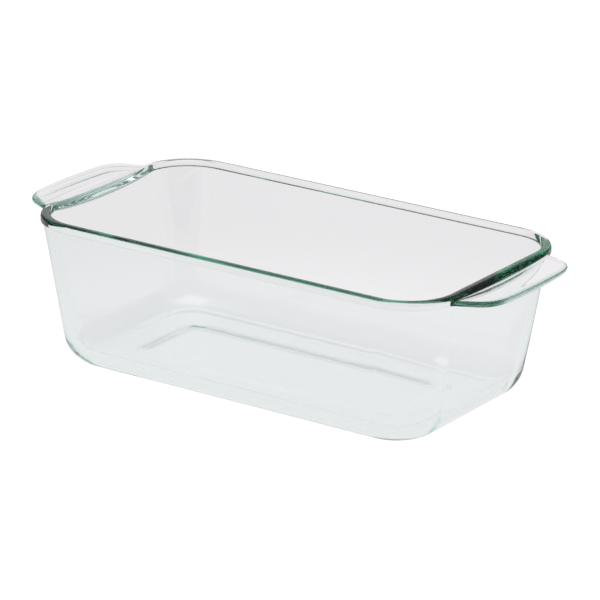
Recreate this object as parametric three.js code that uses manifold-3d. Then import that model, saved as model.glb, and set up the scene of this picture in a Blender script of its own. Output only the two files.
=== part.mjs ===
// A pressed-glass loaf pan: a deep tapered tray with rounded corners, a rim band that stands proud
// of the walls, and a scooped tab handle at each end.
//
// The real pan is one pressing of clear glass. Its regions are built here as separate solids, divided
// along the lines that the mould itself has, with a hairline between neighbours: the rim, the two
// handles, the walls with their foot, and the base panel inside the foot.
//
// Millimetres, +X along the pan, +Z up, origin on the ground below the pan's centre.

import * as THREE from 'three';
import { mergeVertices } from 'three/addons/utils/BufferGeometryUtils.js';
import Module from 'manifold-3d';

// Whole pan
const RIM_LENGTH = 224;
const RIM_WIDTH = 125.6;
const HEIGHT = 73;
const HAIRLINE = 0.3; // gap between neighbouring regions

// Rim band
const RIM_HEIGHT = 4;
const RIM_THICKNESS = 5.2;
const RIM_PROUD = 1.2; // how far it stands out from the wall below
const RIM_CORNER = 27; // plan radius of its outer corners
const RIM_OUTER_ROUND = 1.8;
const RIM_INNER_ROUND = 2.2;
const RIM_LOWER_EDGE = 0.6; // chamfer under its outer face

// Walls: a slope is the draw-in per millimetre of depth
const OUTER_SLOPE_ENDS = 0.145;
const OUTER_SLOPE_SIDES = 0.106;
const INNER_SLOPE_ENDS = 0.151;
const INNER_SLOPE_SIDES = 0.114;
const CORNER_SLOPE = 0.025; // how fast the plan corners tighten with depth
const FOOT_ROUND = 13; // outside, between wall and foot
const FLOOR_ROUND = 10.5; // inside, between wall and floor

// Base
const FLOOR_THICKNESS = 4.4;
const PANEL_RECESS = 0.4; // the panel's underside lies this much above the foot
const PANEL_LENGTH = 144;
const PANEL_WIDTH = 47;
const PANEL_CORNER = 9;

// Handles, measured from the pan's centre
const HANDLE_REACH = 131.2; // to the middle of the outer edge
const HANDLE_SHOULDER_REACH = 130.2; // to the edge where its round corners begin
const HANDLE_SHOULDER_HALF = 22;
const HANDLE_CORNER = [129.3, 33.5]; // pulls the round corner between outer edge and side
const HANDLE_SIDE_REACH = 121.5;
const HANDLE_SIDE_HALF = 36.6;
const HANDLE_FLARE = [116.5, 39]; // pulls the flare between side and root
const HANDLE_ROOT_REACH = 112;
const HANDLE_ROOT_HALF = 42.5;
const HANDLE_BURIED_REACH = 106; // where the uncut slab ends, inside the wall
const HANDLE_FAN = 0.8; // the buried end's width over the free edge's
const HANDLE_EDGE_DROP = 0.4; // outer edge below the rim's top
const HANDLE_ROOT_DROP = 1.5; // further drop at the root, at the handle's two ends
const HANDLE_EDGE_ROUND = 3; // how far in its edge is rounded
const HANDLE_SCOOP = 1.5; // extra drop at the root, in the middle
const HANDLE_ROOT_SWELL = 2; // how far the underside drops there
const HANDLE_SCOOP_HALF = 40;

// Fineness of the round surfaces
const CORNER_STEPS = 5;
const ROUND_STEPS = 5;
const HANDLE_EDGE_STEPS = 40;
const HANDLE_DEPTH_STEPS = 8;

const WALL_TOP = HEIGHT - RIM_HEIGHT;
const INNER_TOP = HEIGHT - RIM_INNER_ROUND;

const wasm = await Module();
wasm.setup();

const glass = new THREE.MeshStandardMaterial({
  color: 0xdce8e4,
  roughness: 0.05,
  metalness: 0,
  transparent: true,
  opacity: 0.4,
});

// Angles from 0 to a right angle, both included.
function quarterTurn(steps) {
  return Array.from({ length: steps + 1 }, (_, i) => (i / steps) * (Math.PI / 2));
}

// How far a rounded bottom edge has drawn in at a height above its lowest level.
function roundInset(height, radius) {
  if (height >= radius) return 0;
  return radius - Math.sqrt(radius ** 2 - (radius - height) ** 2);
}

// A plan section is a rounded rectangle: half length a, half width b, corner radius r, at height z.
function rimSection(inset, z) {
  return { a: RIM_LENGTH / 2 - inset, b: RIM_WIDTH / 2 - inset, r: RIM_CORNER - inset, z };
}

function outerWallSection(z, grow = 0) {
  const depth = WALL_TOP - z;
  const inset = RIM_PROUD + roundInset(z, FOOT_ROUND) - grow;
  return {
    a: RIM_LENGTH / 2 - inset - depth * OUTER_SLOPE_ENDS,
    b: RIM_WIDTH / 2 - inset - depth * OUTER_SLOPE_SIDES,
    r: RIM_CORNER - inset - depth * CORNER_SLOPE,
    z,
  };
}

function innerWallSection(z) {
  const depth = INNER_TOP - z;
  const inset = RIM_THICKNESS + roundInset(z - FLOOR_THICKNESS, FLOOR_ROUND);
  return {
    a: RIM_LENGTH / 2 - inset - depth * INNER_SLOPE_ENDS,
    b: RIM_WIDTH / 2 - inset - depth * INNER_SLOPE_SIDES,
    r: RIM_CORNER - inset - depth * CORNER_SLOPE,
    z,
  };
}

function panelSection(grow, z) {
  return { a: PANEL_LENGTH / 2 + grow, b: PANEL_WIDTH / 2 + grow, r: PANEL_CORNER + grow, z };
}

function roundedRectangle({ a, b, r }) {
  const shape = new THREE.Shape();
  shape.absarc(a - r, b - r, r, 0, Math.PI / 2);
  shape.absarc(r - a, b - r, r, Math.PI / 2, Math.PI);
  shape.absarc(r - a, r - b, r, Math.PI, 1.5 * Math.PI);
  shape.absarc(a - r, r - b, r, 1.5 * Math.PI, 2 * Math.PI);
  return shape;
}

function indexedGeometry(points, triangles) {
  const geometry = new THREE.BufferGeometry();
  geometry.setAttribute('position', new THREE.Float32BufferAttribute(points, 3));
  geometry.setIndex(triangles);
  geometry.computeVertexNormals();
  return geometry;
}

// A ring whose cross-section is the closed chain of plan sections: out along the underside, up the
// outside, in over the top and down the inside.
function ringThrough(sections) {
  const points = [];
  const triangles = [];
  const outlines = sections.map((section) => roundedRectangle(section).getPoints(CORNER_STEPS));
  const around = outlines[0].length;
  sections.forEach((section, i) => {
    outlines[i].forEach((p) => points.push(p.x, p.y, section.z));
    const next = (i + 1) % sections.length;
    for (let j = 0; j < around; j += 1) {
      const k = (j + 1) % around;
      const low = [i * around + j, i * around + k];
      const high = [next * around + j, next * around + k];
      triangles.push(low[0], low[1], high[1], low[0], high[1], high[0]);
    }
  });
  return indexedGeometry(points, triangles);
}

function rimOuterRound() {
  return quarterTurn(ROUND_STEPS).map((t) => {
    const inset = RIM_OUTER_ROUND * (1 - Math.cos(t));
    return rimSection(inset, HEIGHT - RIM_OUTER_ROUND * (1 - Math.sin(t)));
  });
}

function rimInnerRound() {
  return quarterTurn(ROUND_STEPS).map((t) => {
    const inset = RIM_THICKNESS - RIM_INNER_ROUND * (1 - Math.sin(t));
    return rimSection(inset, HEIGHT - RIM_INNER_ROUND * (1 - Math.cos(t)));
  });
}

function makeRim() {
  const underside = WALL_TOP + HAIRLINE / 2;
  return ringThrough([
    rimSection(RIM_LOWER_EDGE, underside),
    rimSection(0, underside + RIM_LOWER_EDGE),
    ...rimOuterRound(),
    ...rimInnerRound(),
    innerWallSection(underside),
  ]);
}

// Heights at which a rounded bottom edge is sampled, from its lowest level to where it ends.
function roundHeights(lowest, radius) {
  return quarterTurn(ROUND_STEPS).map((t) => lowest + radius * (1 - Math.cos(t)));
}

function makeWalls() {
  const top = WALL_TOP - HAIRLINE / 2;
  const outside = [...roundHeights(0, FOOT_ROUND), top];
  const inside = [top, ...roundHeights(FLOOR_THICKNESS, FLOOR_ROUND).reverse()];
  return ringThrough([
    panelSection(HAIRLINE, 0),
    ...outside.map((z) => outerWallSection(z)),
    ...inside.map((z) => innerWallSection(z)),
    panelSection(HAIRLINE, FLOOR_THICKNESS),
  ]);
}

function makeBasePanel() {
  const shape = roundedRectangle(panelSection(0, 0));
  const geometry = new THREE.ExtrudeGeometry(shape, {
    depth: FLOOR_THICKNESS - PANEL_RECESS,
    bevelEnabled: false,
    curveSegments: CORNER_STEPS * 2,
  });
  geometry.translate(0, 0, PANEL_RECESS);
  return geometry;
}

// Free edge of the +X handle, seen from above, from its root at -Y to its root at +Y.
function handleEdge() {
  const [cornerX, cornerY] = HANDLE_CORNER;
  const [flareX, flareY] = HANDLE_FLARE;
  const bulge = 2 * HANDLE_REACH - HANDLE_SHOULDER_REACH;
  const edge = new THREE.Path();
  edge.moveTo(HANDLE_BURIED_REACH, -HANDLE_ROOT_HALF);
  edge.lineTo(HANDLE_ROOT_REACH, -HANDLE_ROOT_HALF);
  edge.quadraticCurveTo(flareX, -flareY, HANDLE_SIDE_REACH, -HANDLE_SIDE_HALF);
  edge.quadraticCurveTo(cornerX, -cornerY, HANDLE_SHOULDER_REACH, -HANDLE_SHOULDER_HALF);
  edge.quadraticCurveTo(bulge, 0, HANDLE_SHOULDER_REACH, HANDLE_SHOULDER_HALF);
  edge.quadraticCurveTo(cornerX, cornerY, HANDLE_SIDE_REACH, HANDLE_SIDE_HALF);
  edge.quadraticCurveTo(flareX, flareY, HANDLE_ROOT_REACH, HANDLE_ROOT_HALF);
  edge.lineTo(HANDLE_BURIED_REACH, HANDLE_ROOT_HALF);
  return edge;
}

// How far in from the free edge a plan point is, as a share of the way to the root.
function inwardShare(x) {
  const share = (HANDLE_SHOULDER_REACH - x) / (HANDLE_SHOULDER_REACH - HANDLE_ROOT_REACH);
  return Math.min(Math.max(share, 0), 1);
}

// A share that falls from 1 in the handle's middle to 0 at its two ends.
function acrossShare(y) {
  return Math.max(1 - (y / HANDLE_SCOOP_HALF) ** 2, 0);
}

// The top slopes down to the root, most in the thumb scoop.
function handleTop({ x, y }) {
  const drop = HANDLE_ROOT_DROP + HANDLE_SCOOP * acrossShare(y);
  return HEIGHT - HANDLE_EDGE_DROP - inwardShare(x) * drop;
}

// The underside meets the rim at its lower edge at the handle's two ends, and swells in the middle.
function handleUnderside({ x, y }) {
  const inward = inwardShare(x);
  const swell = HANDLE_ROOT_SWELL * acrossShare(y) * inward ** 2;
  return WALL_TOP - (1 - inward) * HANDLE_EDGE_DROP - swell;
}

// Rows of the handle from one point of its free edge inwards: first round the edge, which is a half
// ellipse in section, then straight to the buried end. Each row has a plan point and its share of the
// handle's full thickness there.
function handleRows(point, tangent) {
  const inward = new THREE.Vector2(-tangent.y, tangent.x);
  const rows = quarterTurn(ROUND_STEPS - 1).map((t) => ({
    at: point.clone().addScaledVector(inward, HANDLE_EDGE_ROUND * (1 - Math.cos(t))),
    share: Math.sin(t),
  }));
  const from = rows[rows.length - 1].at;
  const to = new THREE.Vector2(HANDLE_BURIED_REACH, point.y * HANDLE_FAN);
  for (let i = 1; i <= HANDLE_DEPTH_STEPS; i += 1) {
    rows.push({ at: from.clone().lerp(to, i / HANDLE_DEPTH_STEPS), share: 1 });
  }
  return rows;
}

// The uncut +X handle: an upper and a lower surface that meet along the free edge, closed by a flat
// end inside the wall.
function handleSlab() {
  const edge = handleEdge();
  const points = [];
  const triangles = [];
  const stations = edge.getSpacedPoints(HANDLE_EDGE_STEPS);
  const strips = stations.map((point, i) => {
    const before = stations[Math.max(i - 1, 0)];
    const after = stations[Math.min(i + 1, HANDLE_EDGE_STEPS)];
    const tangent = after.clone().sub(before).normalize();
    const row = (surface) => ({ at, share }) => {
      const middle = (handleTop(at) + handleUnderside(at)) / 2;
      points.push(at.x, at.y, middle + share * (surface(at) - middle));
      return points.length / 3 - 1;
    };
    const rows = handleRows(point, tangent);
    return { upper: rows.map(row(handleTop)), lower: rows.map(row(handleUnderside)) };
  });
  const quad = (a, b, c, d) => triangles.push(a, b, c, a, c, d);
  const depth = strips[0].upper.length;
  for (let i = 0; i < HANDLE_EDGE_STEPS; i += 1) {
    const here = strips[i];
    const next = strips[i + 1];
    for (let j = 0; j + 1 < depth; j += 1) {
      quad(here.upper[j], next.upper[j], next.upper[j + 1], here.upper[j + 1]);
      quad(here.lower[j + 1], next.lower[j + 1], next.lower[j], here.lower[j]);
    }
    quad(here.upper[depth - 1], next.upper[depth - 1], next.lower[depth - 1], here.lower[depth - 1]);
  }
  for (let j = 0; j + 1 < depth; j += 1) {
    const first = strips[0];
    const last = strips[HANDLE_EDGE_STEPS];
    quad(first.upper[j], first.upper[j + 1], first.lower[j + 1], first.lower[j]);
    quad(last.upper[j + 1], last.upper[j], last.lower[j], last.lower[j + 1]);
  }
  return indexedGeometry(points, triangles);
}

// The pan's outside near its top, grown by the hairline: what a handle is cut back from.
function outsideOfRim() {
  const low = HEIGHT - 4 * RIM_HEIGHT;
  const high = HEIGHT + RIM_HEIGHT;
  const inside = 3 * RIM_THICKNESS; // inset of its inner side, clear of the buried end
  return ringThrough([
    rimSection(inside, low),
    outerWallSection(low, HAIRLINE),
    outerWallSection(WALL_TOP - HAIRLINE, HAIRLINE),
    rimSection(-HAIRLINE, WALL_TOP),
    rimSection(-HAIRLINE, high),
    rimSection(inside, high),
  ]);
}

function toManifold(geometry) {
  const bare = geometry.clone();
  bare.deleteAttribute('normal');
  bare.deleteAttribute('uv');
  const merged = mergeVertices(bare, 1e-4);
  const vertProperties = new Float32Array(merged.attributes.position.array);
  const triVerts = new Uint32Array(merged.index.array);
  return new wasm.Manifold(new wasm.Mesh({ numProp: 3, vertProperties, triVerts }));
}

function fromManifold(solid) {
  const mesh = solid.getMesh();
  return indexedGeometry(mesh.vertProperties, Array.from(mesh.triVerts));
}

function makeHandle() {
  return fromManifold(toManifold(handleSlab()).subtract(toManifold(outsideOfRim())));
}

const pan = new THREE.Group();

function place(name, geometry, turn = 0) {
  const mesh = new THREE.Mesh(geometry, glass);
  mesh.name = name;
  mesh.rotation.z = turn;
  pan.add(mesh);
}

const handle = makeHandle();
place('rim', makeRim());
place('walls', makeWalls());
place('base_panel', makeBasePanel());
place('handle_right', handle);
place('handle_left', handle, Math.PI);

export default pan;
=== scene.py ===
"""A loaf pan of clear pressed glass, standing on a pale floor.

The real pan is one pressing, so one closed mesh stands for all five CAD regions. It is a grid: its
columns run round the pan, and its rows run from the floor inside, up the inner wall, over the rim,
out and back along the handles, down the outer wall and under the foot. Metres, +Z up.
"""

import math

import bpy
import numpy as np
from mathutils import Matrix, Vector


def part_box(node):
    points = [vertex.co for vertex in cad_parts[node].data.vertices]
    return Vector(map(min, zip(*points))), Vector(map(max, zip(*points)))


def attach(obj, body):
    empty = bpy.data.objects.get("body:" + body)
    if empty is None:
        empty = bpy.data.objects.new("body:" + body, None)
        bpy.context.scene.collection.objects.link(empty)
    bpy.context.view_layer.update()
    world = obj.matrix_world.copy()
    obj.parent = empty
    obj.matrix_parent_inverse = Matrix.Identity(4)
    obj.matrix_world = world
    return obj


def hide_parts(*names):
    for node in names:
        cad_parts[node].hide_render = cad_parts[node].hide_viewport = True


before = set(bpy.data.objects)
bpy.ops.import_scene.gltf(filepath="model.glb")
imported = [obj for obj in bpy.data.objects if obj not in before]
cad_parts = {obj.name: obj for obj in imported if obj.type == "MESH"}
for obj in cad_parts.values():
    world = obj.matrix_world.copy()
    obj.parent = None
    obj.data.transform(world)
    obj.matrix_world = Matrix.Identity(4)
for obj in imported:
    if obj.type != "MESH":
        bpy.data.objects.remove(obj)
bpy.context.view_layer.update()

MM = 0.001

# Sizes that the CAD regions give
PANEL_LOW, PANEL_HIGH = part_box("base_panel")
HALF_LENGTH, HALF_WIDTH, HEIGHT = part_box("rim")[1]
HANDLE_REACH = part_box("handle_right")[1].x
PANEL_UNDERSIDE, FLOOR_TOP = PANEL_LOW.z, PANEL_HIGH.z

# Rim band
RIM_HEIGHT = 4 * MM
RIM_THICKNESS = 5.2 * MM
RIM_PROUD = 1.2 * MM
RIM_CORNER = 27 * MM
RIM_OUTER_ROUND = 1.8 * MM
RIM_INNER_ROUND = 2.2 * MM
RIM_LOWER_ROUND = 0.6 * MM

# Walls: a slope is the draw-in per metre of depth, at the ends and at the long sides
OUTER_SLOPES = (0.145, 0.106)
INNER_SLOPES = (0.151, 0.114)
CORNER_SLOPE = 0.025
FOOT_ROUND = 13 * MM
FLOOR_ROUND = 10.5 * MM
PANEL_CORNER = 9 * MM
PANEL_EDGE_REACH = 5 * MM  # how far its soft edge spreads to each side

# Handles, measured from the pan's centre
SHOULDER = np.array([HANDLE_REACH - 1 * MM, 22 * MM])  # where the outer edge's round corners begin
CORNER_PULL = np.array([129.3 * MM, 33.5 * MM])
SIDE = np.array([121.5 * MM, 36.6 * MM])
FLARE_PULL = np.array([116.5 * MM, 39 * MM])
ROOT_HALF = 42.5 * MM
EDGE_DROP = 0.4 * MM  # outer edge below the rim's top
ROOT_DROP = 1.5 * MM  # further drop at the root, at the handle's two ends
EDGE_ROUND = 3 * MM
SCOOP = 1.5 * MM  # extra drop at the root, in the middle
ROOT_SWELL = 2 * MM  # how far the underside drops there
SCOOP_HALF = 40 * MM
UPPER_FILLET = 1 * MM  # plan width of the hollow between top and rim at the handle's two ends
MIDDLE_FILLET = 5 * MM  # extra width of it in the middle
MERGE_REACH = 5 * MM  # a handle's section is fully formed where it reaches this far out
BAND_ZONE = 12 * MM  # depth below the rim's top where the wall's rows run level

# Columns round the pan, and rows over each stretch of its section
END_COLUMNS = 32
SIDE_COLUMNS = 16
CORNER_COLUMNS = 28
WALL_ROWS = 6
ROUND_ROWS = 8
SMALL_ROUND_ROWS = 4
FACE_ROWS = 8
BAND_SHARES = (0.05, 0.35, 0.7, 1)  # closest together where the wall meets the rim or a handle


def spread(start, end, steps):
    """Evenly spaced numbers after start, up to and including end."""
    return np.linspace(start, end, steps + 1)[1:]


def make_columns():
    """For each column, its share of the straight half length and half width, then its outward normal."""
    columns = []
    corners = [(1, 1), (-1, 1), (-1, -1), (1, -1)]
    for turn, (x, y) in enumerate(corners):
        for theta in np.linspace(turn, turn + 1, CORNER_COLUMNS + 1) * math.pi / 2:
            columns.append((x, y, math.cos(theta), math.sin(theta)))
        next_x, next_y = corners[(turn + 1) % 4]
        steps = END_COLUMNS if next_x == x else SIDE_COLUMNS
        for share in np.linspace(0, 1, steps + 1)[1:-1]:
            columns.append((x + (next_x - x) * share, y + (next_y - y) * share, *columns[-1][2:]))
    return np.array(columns)


COLUMNS = make_columns()


def rounded_row(half_length, half_width, corner, z):
    """A row of points, one per column, on a rounded rectangle. Its height may differ by column."""
    x = COLUMNS[:, 0] * (half_length - corner) + COLUMNS[:, 2] * corner
    y = COLUMNS[:, 1] * (half_width - corner) + COLUMNS[:, 3] * corner
    return np.column_stack([x, y, np.broadcast_to(z, len(x))])


def rim_row(inset, z):
    return rounded_row(HALF_LENGTH - inset, HALF_WIDTH - inset, RIM_CORNER - inset, z)


def wall_row(z, depth, inset, slopes):
    return rounded_row(HALF_LENGTH - inset - depth * slopes[0], HALF_WIDTH - inset - depth * slopes[1],
                       RIM_CORNER - inset - depth * CORNER_SLOPE, z)


def round_inset(height, radius):
    """How far a rounded bottom edge has drawn in at a height above its lowest level."""
    return radius - np.sqrt(radius ** 2 - np.maximum(radius - height, 0) ** 2)


def outer_row(z):
    return wall_row(z, HEIGHT - RIM_HEIGHT - z, RIM_PROUD + round_inset(z, FOOT_ROUND), OUTER_SLOPES)


def inner_row(z):
    inset = RIM_THICKNESS + round_inset(z - FLOOR_TOP, FLOOR_ROUND)
    return wall_row(z, HEIGHT - RIM_INNER_ROUND - z, inset, INNER_SLOPES)


def panel_row(grow, z):
    return rounded_row(PANEL_HIGH.x + grow, PANEL_HIGH.y + grow, PANEL_CORNER + grow, z)


def inside_rows():
    """From the edge of the flat floor, up the inner wall to the rim's inner round."""
    turn = np.linspace(0, math.pi / 2, ROUND_ROWS + 1)
    rounded = [inner_row(FLOOR_TOP + FLOOR_ROUND * (1 - math.cos(t))) for t in turn]
    straight = spread(FLOOR_TOP + FLOOR_ROUND, HEIGHT - RIM_INNER_ROUND, WALL_ROWS)
    return rounded + [inner_row(z) for z in straight]


def rim_top_rows():
    """Over the rim, from its inner round to where its outer face turns upright."""
    turn = spread(0, math.pi / 2, SMALL_ROUND_ROWS)
    inner = [rim_row(RIM_THICKNESS - RIM_INNER_ROUND * (1 - math.cos(t)),
                     HEIGHT - RIM_INNER_ROUND * (1 - math.sin(t))) for t in turn]
    outer = [rim_row(RIM_OUTER_ROUND * (1 - math.sin(t)),
                     HEIGHT - RIM_OUTER_ROUND * (1 - math.cos(t))) for t in [0, *turn]]
    return inner + outer


def plain_side_rows():
    """The rim's outer face and its lower edge, in to the wall, as they are where there is no handle."""
    r = RIM_LOWER_ROUND
    edge = HEIGHT - RIM_HEIGHT
    turn = spread(0, math.pi / 2, 2 * SMALL_ROUND_ROWS)
    face = [rim_row(0, z) for z in spread(HEIGHT - RIM_OUTER_ROUND, edge + r, SMALL_ROUND_ROWS + FACE_ROWS)]
    over = [rim_row(r * (1 - math.cos(t)), edge + r * (1 - math.sin(t))) for t in turn]
    under = [rim_row(inset, edge) for inset in spread(r, RIM_PROUD, FACE_ROWS)]
    return face + over + under


def quadratic(start, pull, end, steps=40):
    t = np.linspace(0, 1, steps + 1)[:, None]
    return (1 - t) ** 2 * start + 2 * t * (1 - t) * pull + t ** 2 * end


def handle_edge(share):
    """Plan points of the +X handle's free edge, by their share of its length from root to root."""
    into_corner = ROOT_HALF - (HALF_WIDTH - RIM_CORNER)
    root = np.array([HALF_LENGTH - round_inset(RIM_CORNER - into_corner, RIM_CORNER), ROOT_HALF])
    half = np.concatenate([quadratic(root, FLARE_PULL, SIDE), quadratic(SIDE, CORNER_PULL, SHOULDER)])
    other_half = half * (1, -1)
    middle_pull = np.array([2 * HANDLE_REACH - SHOULDER[0], 0])
    edge = np.concatenate([other_half, quadratic(other_half[-1], middle_pull, SHOULDER), half[::-1]])
    lengths = np.linalg.norm(np.diff(edge, axis=0), axis=1)
    along = np.concatenate([[0], np.cumsum(lengths)])
    return np.column_stack([np.interp(share * along[-1], along, edge[:, i]) for i in (0, 1)])


def handle_shape(plan):
    """How far in from the edge a plan point is, as a share of the way to the root, and a share that
    falls from 1 in the handle's middle to 0 at its two ends."""
    reach = np.abs(plan[:, 0])
    inward = np.clip((SHOULDER[0] - reach) / (SHOULDER[0] - HALF_LENGTH), 0, 1)
    return inward, np.maximum(1 - (plan[:, 1] / SCOOP_HALF) ** 2, 0)


def handle_top(plan):
    inward, across = handle_shape(plan)
    return HEIGHT - EDGE_DROP - inward * (ROOT_DROP + SCOOP * across)


def handle_underside(plan):
    inward, across = handle_shape(plan)
    return HEIGHT - RIM_HEIGHT - EDGE_DROP * (1 - inward) - ROOT_SWELL * across * inward ** 2


def handle_reach():
    """For each column, how far the handle stands out of the rim, as a plan vector. It is 0 elsewhere."""
    root = rim_row(0, 0)[:, :2]
    end = np.sign(root[:, :1])
    share = (root[:, 1] * end[:, 0] + ROOT_HALF) / (2 * ROOT_HALF)
    tip = handle_edge(np.clip(share, 0, 1)) * end
    reach = tip - root
    reach[(share <= 0) | (share >= 1)] = 0
    return reach


def handle_side_rows():
    """The handle's top, its round edge, and its underside back in to the wall."""
    reach = handle_reach()
    length = np.maximum(np.linalg.norm(reach, axis=1), 1e-9)
    out = np.column_stack([reach / length[:, None], np.zeros(len(reach))])
    root = rim_row(0, 0)
    tip_round = np.minimum(EDGE_ROUND, 0.45 * length)
    fillet = np.minimum(UPPER_FILLET + MIDDLE_FILLET * handle_shape(root)[1], 0.35 * length)
    fillet_height = HEIGHT - RIM_OUTER_ROUND - handle_top(root)

    def at(distance):
        return root + out * np.broadcast_to(distance, len(root))[:, None]

    rows = []
    for t in spread(0, math.pi / 2, SMALL_ROUND_ROWS):
        row = at(fillet * (1 - math.cos(t)))
        row[:, 2] = handle_top(row) + fillet_height * (1 - math.sin(t))
        rows.append(row)
    for share in spread(0, 1, FACE_ROWS):
        row = at(fillet + (length - tip_round - fillet) * share)
        row[:, 2] = handle_top(row)
        rows.append(row)
    for t in spread(math.pi / 2, -math.pi / 2, 2 * SMALL_ROUND_ROWS):
        row = at(length - tip_round * (1 - math.cos(t)))
        top, bottom = handle_top(row), handle_underside(row)
        row[:, 2] = (top + bottom) / 2 + math.sin(t) * (top - bottom) / 2
        rows.append(row)
    start = rows[-1]
    wall = outer_row(HEIGHT - RIM_HEIGHT)
    for share in spread(0, 1, FACE_ROWS):
        row = start + (wall - start) * share
        row[:, 2] = handle_underside(row)
        rows.append(row)
    return rows


def side_rows():
    """The rows from the rim's outer face, or out and back along a handle, down to the wall's level
    rows. A handle grows out of the plain face, so the two are blended by its reach."""
    weight = np.linalg.norm(handle_reach(), axis=1) / MERGE_REACH
    weight = np.clip(weight, 0, 1)
    weight = (weight ** 2 * (3 - 2 * weight))[:, None]
    pairs = zip(plain_side_rows(), handle_side_rows(), strict=True)
    rows = [plain + (handle - plain) * weight for plain, handle in pairs]
    start, below = rows[-1][:, 2], HEIGHT - BAND_ZONE
    return rows + [outer_row(start + (below - start) * share) for share in BAND_SHARES]


def outside_rows():
    """Down the outer wall from below the handles, and round to the foot."""
    straight = spread(HEIGHT - BAND_ZONE, FOOT_ROUND, WALL_ROWS)
    rounded = [FOOT_ROUND * (1 - math.sin(t)) for t in spread(0, math.pi / 2, ROUND_ROWS)]
    return [outer_row(z) for z in [*straight, *rounded]]


def foot_rows():
    """In across the foot, and up the soft step to the base panel's underside."""
    shares = np.linspace(0, 1, ROUND_ROWS + 1)
    return [panel_row(PANEL_EDGE_REACH * (1 - 2 * share), PANEL_UNDERSIDE * share ** 2 * (3 - 2 * share))
            for share in shares]


def cap(ring, first):
    """Fills a row with a grid of four-sided faces, whose corners are at the middles of the row's round
    corners. first is the ring's first vertex, and the new points are numbered from 0 upwards, as
    negative numbers less one. Returns the new points and the grid of vertex numbers."""
    long_steps = CORNER_COLUMNS + SIDE_COLUMNS
    end_steps = CORNER_COLUMNS + END_COLUMNS
    count = len(ring)
    start = CORNER_COLUMNS // 2
    numbers = (start + np.arange(count)) % count
    back = numbers[:long_steps + 1]
    left = numbers[long_steps:long_steps + end_steps + 1]
    front = numbers[long_steps + end_steps:2 * long_steps + end_steps + 1][::-1]
    right = np.append(numbers[0], numbers[:2 * long_steps + end_steps - 1:-1])
    grid = np.zeros((end_steps + 1, long_steps + 1), int)
    grid[0], grid[-1] = back + first, front + first
    grid[:, 0], grid[:, -1] = right + first, left + first
    u = np.linspace(0, 1, long_steps + 1)[None, :, None]
    v = np.linspace(0, 1, end_steps + 1)[:, None, None]
    blend = ((1 - v) * ring[back][None] + v * ring[front][None]
             + (1 - u) * ring[right][:, None] + u * ring[left][:, None])
    blend -= ((1 - u) * (1 - v) * ring[back[0]] + u * (1 - v) * ring[back[-1]]
              + u * v * ring[front[-1]] + (1 - u) * v * ring[front[0]])
    inner = blend[1:-1, 1:-1].reshape(-1, 3)
    grid[1:-1, 1:-1] = -1 - np.arange(len(inner)).reshape(end_steps - 1, long_steps - 1)
    return inner, grid


def grid_faces(grid):
    """Four-sided faces between the neighbours of a grid of vertex numbers."""
    a, b, c, d = grid[:-1, :-1], grid[:-1, 1:], grid[1:, 1:], grid[1:, :-1]
    return np.stack([a, b, c, d], axis=-1).reshape(-1, 4)


def make_pan():
    rows = inside_rows() + rim_top_rows() + side_rows() + outside_rows() + foot_rows()
    count = len(COLUMNS)
    points = np.concatenate(rows)
    numbers = np.arange(len(points)).reshape(len(rows), count)
    faces = [grid_faces(np.hstack([numbers, numbers[:, :1]])[::-1])]
    for row, flip in ((0, False), (len(rows) - 1, True)):
        inner, grid = cap(rows[row], row * count)
        grid = np.where(grid < 0, len(points) - 1 - grid, grid)
        faces.append(grid_faces(grid[::-1] if flip else grid))
        points = np.concatenate([points, inner])
    mesh = bpy.data.meshes.new("glass_pan")
    mesh.from_pydata(points.tolist(), [], np.concatenate(faces).tolist())
    mesh.polygons.foreach_set("use_smooth", [True] * len(mesh.polygons))
    mesh.validate()
    pan = bpy.data.objects.new("glass_pan", mesh)
    bpy.context.scene.collection.objects.link(pan)
    smooth = pan.modifiers.new("smooth", "SUBSURF")
    smooth.levels = smooth.render_levels = 1
    return pan


# Glass
REFRACTION = 1.5
ABSORPTION_COLOUR = (0.36, 0.78, 0.66, 1)
ABSORPTION_DENSITY = 16
RIPPLES_PER_METRE = 70  # the soft waviness of a pressed surface
RIPPLE_HEIGHT = 0.02 * MM
HAZE_PATCHES_PER_METRE = 45  # faint dishwasher haze, in patches
HAZE_ROUGHNESS = 0.03


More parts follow.
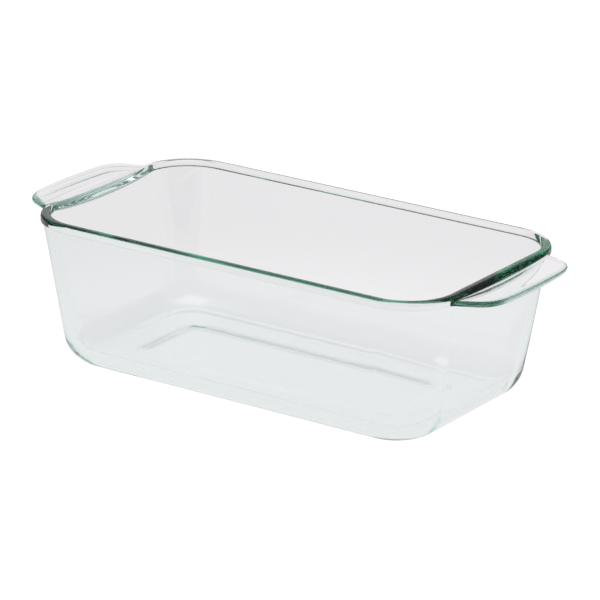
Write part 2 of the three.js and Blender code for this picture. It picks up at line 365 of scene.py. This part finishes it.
def make_glass():
    material = bpy.data.materials.new("clear_pressed_glass")
    material.use_nodes = True
    nodes, links = material.node_tree.nodes, material.node_tree.links
    nodes.clear()
    output = nodes.new("ShaderNodeOutputMaterial")
    shader = nodes.new("ShaderNodeBsdfPrincipled")
    shader.inputs["Base Color"].default_value = (1, 1, 1, 1)
    shader.inputs["IOR"].default_value = REFRACTION
    shader.inputs["Transmission Weight"].default_value = 1
    place = nodes.new("ShaderNodeTexCoord").outputs["Object"]
    ripple = nodes.new("ShaderNodeTexNoise")
    ripple.inputs["Scale"].default_value = RIPPLES_PER_METRE
    ripple.inputs["Detail"].default_value = 2
    links.new(place, ripple.inputs["Vector"])
    bump = nodes.new("ShaderNodeBump")
    bump.inputs["Strength"].default_value = 1
    bump.inputs["Distance"].default_value = RIPPLE_HEIGHT
    links.new(ripple.outputs["Fac"], bump.inputs["Height"])
    links.new(bump.outputs["Normal"], shader.inputs["Normal"])
    haze = nodes.new("ShaderNodeTexNoise")
    haze.inputs["Scale"].default_value = HAZE_PATCHES_PER_METRE
    haze.inputs["Detail"].default_value = 5
    links.new(place, haze.inputs["Vector"])
    wear = nodes.new("ShaderNodeMapRange")
    wear.inputs["From Min"].default_value = 0.5
    wear.inputs["To Min"].default_value = 0
    wear.inputs["To Max"].default_value = HAZE_ROUGHNESS
    links.new(haze.outputs["Fac"], wear.inputs["Value"])
    links.new(wear.outputs["Result"], shader.inputs["Roughness"])
    tint = nodes.new("ShaderNodeVolumeAbsorption")
    tint.inputs["Color"].default_value = ABSORPTION_COLOUR
    tint.inputs["Density"].default_value = ABSORPTION_DENSITY
    links.new(shader.outputs["BSDF"], output.inputs["Surface"])
    links.new(tint.outputs["Volume"], output.inputs["Volume"])
    return material


# Stage
FLOOR_SIZE = 6
FLOOR_DROP = 0.2 * MM  # keeps the floor clear of the foot's flat underside
STAGE_WHITE = (1, 0.955, 0.98)  # balances the green that clear glass of this kind adds
FLOOR_COLOUR = (0.15, 0.15, 0.15, 1)
FLOOR_ROUGHNESS = 0.9
FLOOR_GLOW = 1.05
FLOOR_GLOW_IN_GLASS = (0.85, 0.78)  # near the pan's middle, and far from it
FLOOR_FADE = (0.08, 0.24)  # the distances between which it fades
WORLD_GLOW = 1.1
WORLD_GLOW_IN_GLASS = 0.22
OVERHEAD_RADIANCE = 1.2
BACK_RADIANCE = 0.7
LIGHT_BOUNCES = 48  # enough for light that is reflected many times inside the rim
CAMERA_AZIMUTH = 34.09
CAMERA_ELEVATION = 19.36
CAMERA_ROLL = 0.87
CAMERA_DISTANCE = 1.821
CAMERA_LENS = 236.5
CAMERA_TARGET = Vector((0, 0, 36 * MM))
CAMERA_AIM = (3.4 * MM, 1.1 * MM)  # right of and above the target


def make_camera():
    data = bpy.data.cameras.new("camera")
    data.lens = CAMERA_LENS
    data.clip_start, data.clip_end = 0.1, 20
    camera = bpy.data.objects.new("camera", data)
    a, e = math.radians(CAMERA_AZIMUTH), math.radians(CAMERA_ELEVATION)
    back = Vector((math.sin(a) * math.cos(e), -math.cos(a) * math.cos(e), math.sin(e)))
    right = Vector((math.cos(a), math.sin(a), 0))
    up = back.cross(right)
    place = CAMERA_TARGET + back * CAMERA_DISTANCE
    aim = CAMERA_TARGET + right * CAMERA_AIM[0] + up * CAMERA_AIM[1]
    camera.rotation_mode = "QUATERNION"
    camera.location = place
    level = (aim - place).to_track_quat("-Z", "Y")
    camera.rotation_quaternion = level @ Matrix.Rotation(math.radians(CAMERA_ROLL), 3, "Z").to_quaternion()
    bpy.context.scene.collection.objects.link(camera)
    bpy.context.scene.camera = camera


def make_floor():
    mesh = bpy.data.meshes.new("floor")
    h = FLOOR_SIZE / 2
    corners = [(-h, -h, -FLOOR_DROP), (h, -h, -FLOOR_DROP), (h, h, -FLOOR_DROP), (-h, h, -FLOOR_DROP)]
    mesh.from_pydata(corners, [], [(0, 1, 2, 3)])
    floor = bpy.data.objects.new("floor", mesh)
    material = bpy.data.materials.new("pale_floor")
    material.use_nodes = True
    nodes, links = material.node_tree.nodes, material.node_tree.links
    shader = nodes["Principled BSDF"]
    shader.inputs["Base Color"].default_value = FLOOR_COLOUR
    shader.inputs["Roughness"].default_value = FLOOR_ROUGHNESS
    shader.inputs["Specular IOR Level"].default_value = 0
    shader.inputs["Emission Color"].default_value = (*STAGE_WHITE, 1)
    distance = nodes.new("ShaderNodeVectorMath")
    distance.operation = "LENGTH"
    links.new(nodes.new("ShaderNodeTexCoord").outputs["Object"], distance.inputs[0])
    fade = nodes.new("ShaderNodeMapRange")
    fade.interpolation_type = "SMOOTHSTEP"
    fade.inputs["From Min"].default_value, fade.inputs["From Max"].default_value = FLOOR_FADE
    fade.inputs["To Min"].default_value, fade.inputs["To Max"].default_value = FLOOR_GLOW_IN_GLASS
    links.new(distance.outputs["Value"], fade.inputs["Value"])
    glow = seen_directly(nodes, links, FLOOR_GLOW, FLOOR_GLOW_IN_GLASS[0])
    links.new(fade.outputs["Result"], glow.node.inputs["To Min"])
    links.new(glow, shader.inputs["Emission Strength"])
    mesh.materials.append(material)
    bpy.context.scene.collection.objects.link(floor)


def soft_light(name, place, width, depth, radiance):
    """A rectangular light that faces the pan, and looks evenly bright in the glass."""
    data = bpy.data.lights.new(name, "AREA")
    data.shape = "RECTANGLE"
    data.size, data.size_y = width, depth
    data.color = STAGE_WHITE
    data.energy = radiance * math.pi * width * depth
    light = bpy.data.objects.new(name, data)
    light.location = place
    light.rotation_mode = "QUATERNION"
    light.rotation_quaternion = (-Vector(place)).to_track_quat("-Z", "Y")
    light.visible_camera = False
    bpy.context.scene.collection.objects.link(light)


def seen_directly(nodes, links, direct, through_glass):
    """A strength that differs between what the camera sees directly and what it sees in the glass."""
    strength = nodes.new("ShaderNodeMapRange")
    strength.inputs["To Min"].default_value = through_glass
    strength.inputs["To Max"].default_value = direct
    links.new(nodes.new("ShaderNodeLightPath").outputs["Is Camera Ray"], strength.inputs["Value"])
    return strength.outputs["Result"]


def make_world():
    world = bpy.data.worlds.new("studio")
    world.use_nodes = True
    nodes, links = world.node_tree.nodes, world.node_tree.links
    background = nodes["Background"]
    background.inputs["Color"].default_value = (*STAGE_WHITE, 1)
    links.new(seen_directly(nodes, links, WORLD_GLOW, WORLD_GLOW_IN_GLASS), background.inputs["Strength"])
    bpy.context.scene.world = world


make_camera()
make_floor()
make_world()
soft_light("overhead", (0, 0, 2.2), 2.0, 2.0, OVERHEAD_RADIANCE)
soft_light("back", (-1.45, 2.16, 1.05), 3.0, 1.4, BACK_RADIANCE)
bpy.context.scene.view_settings.view_transform = "Standard"
cycles = bpy.context.scene.cycles
cycles.max_bounces = cycles.transmission_bounces = cycles.glossy_bounces = LIGHT_BOUNCES

pan = make_pan()
pan.data.materials.append(make_glass())
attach(pan, "root")
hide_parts("rim", "walls", "base_panel", "handle_left", "handle_right")
